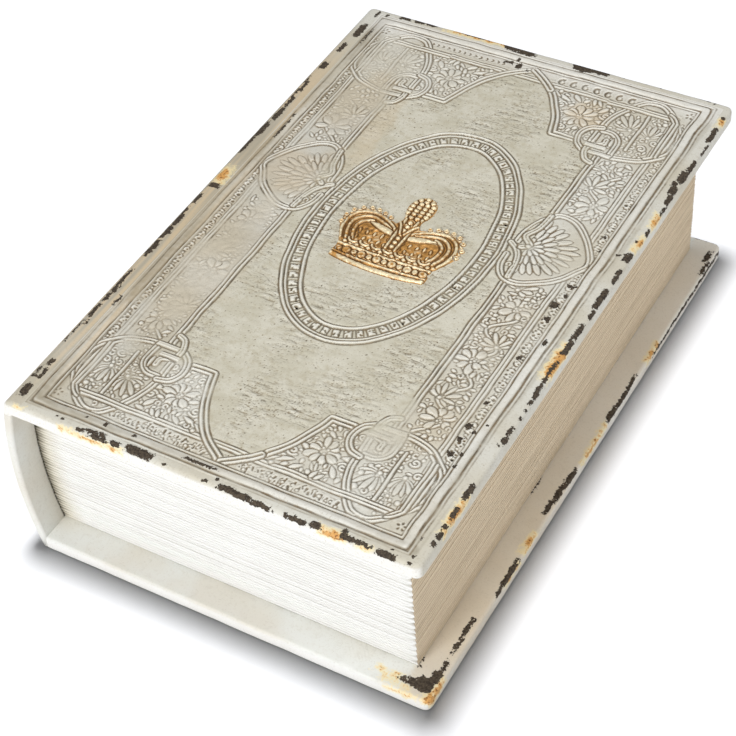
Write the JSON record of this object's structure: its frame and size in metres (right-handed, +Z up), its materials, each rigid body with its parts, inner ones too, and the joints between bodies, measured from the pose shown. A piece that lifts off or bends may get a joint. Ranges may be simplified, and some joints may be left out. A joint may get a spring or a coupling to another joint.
{
  "type": "book box",
  "caption": "Keepsake box in the shape of an old book lying flat: embossed front cover as a hinged lid, bowed spine, ribbed page edges and a lined tray.",
  "frame": {"origin": "on the surface that the box stands on, under the middle of its overall outline", "axes": "+X from the spine to the fore-edge, +Y from the tail to the head of the book, +Z up out of the front cover"},
  "size_m": [0.1776, 0.27, 0.0837],
  "materials": {
    "cover_leather": "embossed cream book leather with antiqued recesses and chipped arrises",
    "cover_board": "grey bookbinder's board",
    "tray_wood": "raw fibreboard",
    "page_facing": "ribbed matt paper",
    "rim_paper": "matt paper",
    "lining": "short-pile lining cloth",
    "gilt": "worn gilding"
  },
  "bodies": {
    "box": {"back_board": "cover_board", "back_cover_leather": "cover_leather", "back_filler_card": "cover_board", "spine_board": "cover_board", "spine_leather": "cover_leather", "raised_band_1": "cover_leather", "raised_band_2": "cover_leather", "raised_band_3": "cover_leather", "raised_band_4": "cover_leather", "raised_band_5": "cover_leather", "front_hinge_leather": "cover_leather", "tray_floor": "tray_wood", "spine_wall": "tray_wood", "tail_wall": "tray_wood", "head_wall": "tray_wood", "fore_edge_wall": "tray_wood", "tail_pages": "page_facing", "head_pages": "page_facing", "fore_edge_pages": "page_facing", "floor_lining": "lining", "spine_lining": "lining", "fore_edge_lining": "lining", "tail_lining": "lining", "head_lining": "lining", "rim_paper": "rim_paper"},
    "front_cover": {"front_board": "cover_board", "front_cover_leather": "cover_leather", "lid_lining": "lining", "gold_crown": "gilt"}
  },
  "joints": [
    {"name": "lid_hinge", "type": "hinge", "parent": "box", "child": "front_cover", "pos_m": [-0.08185, 0, 0.0805], "axis": [0, -1, 0], "range_deg": [0, 180], "deforming": ["front_hinge_leather"]}
  ]
}
